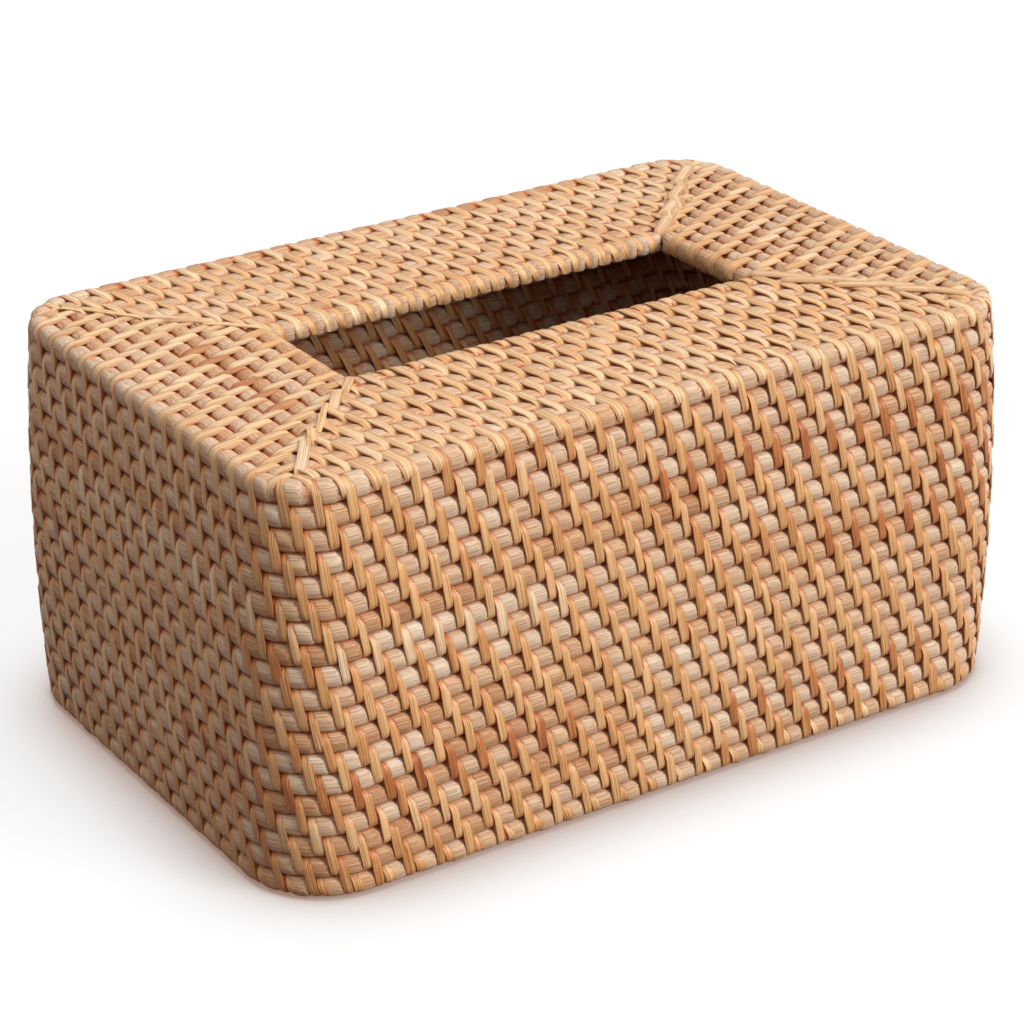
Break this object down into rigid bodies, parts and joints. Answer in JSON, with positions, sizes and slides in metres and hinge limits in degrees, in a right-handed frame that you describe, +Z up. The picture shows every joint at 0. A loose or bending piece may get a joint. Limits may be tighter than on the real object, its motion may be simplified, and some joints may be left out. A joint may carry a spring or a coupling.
{
  "type": "tissue box cover",
  "caption": "Rectangular rattan tissue box cover: stacked bound hoops, a mitred rod top with a long slot for the tissues, and an open base that drops over a carton.",
  "frame": {"origin": "centre of the base rim's outline, on the surface that the cover stands on", "axes": "+X along the long side, +Y from the front long wall to the back one, +Z up through the slot"},
  "size_m": [0.267, 0.177, 0.1295],
  "materials": {
    "rattan_core": "matt striated pith",
    "rattan_peel": "satin peel"
  },
  "bodies": {
    "root": {"edge_hoop": "rattan_core", "wall_hoop_02": "rattan_core", "wall_hoop_03": "rattan_core", "wall_hoop_04": "rattan_core", "wall_hoop_05": "rattan_core", "wall_hoop_06": "rattan_core", "wall_hoop_07": "rattan_core", "wall_hoop_08": "rattan_core", "wall_hoop_09": "rattan_core", "wall_hoop_10": "rattan_core", "wall_hoop_11": "rattan_core", "wall_hoop_12": "rattan_core", "wall_hoop_13": "rattan_core", "wall_hoop_14": "rattan_core", "wall_hoop_15": "rattan_core", "wall_hoop_16": "rattan_core", "wall_hoop_17": "rattan_core", "wall_hoop_18": "rattan_core", "base_hoop": "rattan_core", "top_rod_front_1": "rattan_core", "top_rod_front_2": "rattan_core", "top_rod_front_3": "rattan_core", "top_rod_front_4": "rattan_core", "top_rod_front_5": "rattan_core", "top_rod_front_6": "rattan_core", "top_rod_front_7": "rattan_core", "top_rod_right_1": "rattan_core", "top_rod_right_2": "rattan_core", "top_rod_right_3": "rattan_core", "top_rod_right_4": "rattan_core", "top_rod_right_5": "rattan_core", "top_rod_right_6": "rattan_core", "top_rod_right_7": "rattan_core", "top_rod_back_1": "rattan_core", "top_rod_back_2": "rattan_core", "top_rod_back_3": "rattan_core", "top_rod_back_4": "rattan_core", "top_rod_back_5": "rattan_core", "top_rod_back_6": "rattan_core", "top_rod_back_7": "rattan_core", "top_rod_left_1": "rattan_core", "top_rod_left_2": "rattan_core", "top_rod_left_3": "rattan_core", "top_rod_left_4": "rattan_core", "top_rod_left_5": "rattan_core", "top_rod_left_6": "rattan_core", "top_rod_left_7": "rattan_core", "slot_rim_front": "rattan_core", "slot_rim_right": "rattan_core", "slot_rim_back": "rattan_core", "slot_rim_left": "rattan_core", "slot_rim_binding": "rattan_peel", "mitre_lashing_front_left": "rattan_peel", "mitre_lashing_front_right": "rattan_peel", "mitre_lashing_back_left": "rattan_peel", "mitre_lashing_back_right": "rattan_peel"}
  },
  "joints": []
}
